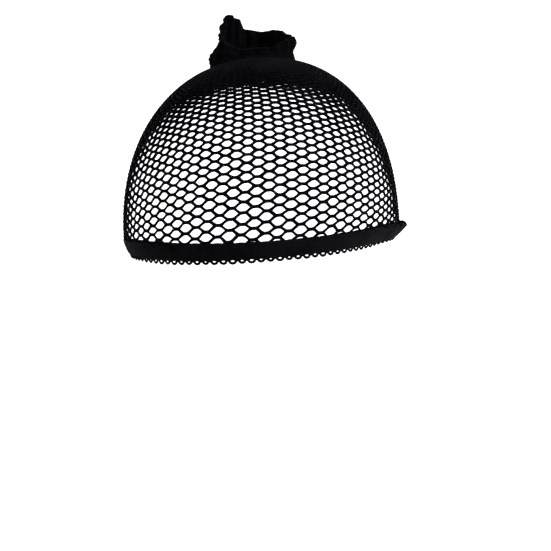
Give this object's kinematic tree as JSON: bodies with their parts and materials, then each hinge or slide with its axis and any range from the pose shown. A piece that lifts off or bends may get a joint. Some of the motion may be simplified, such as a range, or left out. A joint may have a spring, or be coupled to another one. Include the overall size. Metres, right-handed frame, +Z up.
{
  "type": "wig cap",
  "caption": "Stretch fishnet wig cap with a net dome, a gathered open collar on top, an elastic head band and a looped picot edge.",
  "frame": {"origin": "centre of the head opening, in the plane of the band's lower edge at the front", "axes": "+Z up through the crown, -Y the front, +X the wearer's left"},
  "size_m": [0.1562, 0.1932, 0.1443],
  "materials": {
    "net": "matte black knitted nylon net",
    "gathered_net": "matte black net, bunched and ribbed",
    "elastic": "matte black knitted elastic",
    "picot": "matte black thread loops"
  },
  "bodies": {
    "root": {"crown_net": "net", "gathered_collar": "gathered_net", "head_band": "elastic", "picot_edging": "picot"}
  },
  "joints": []
}
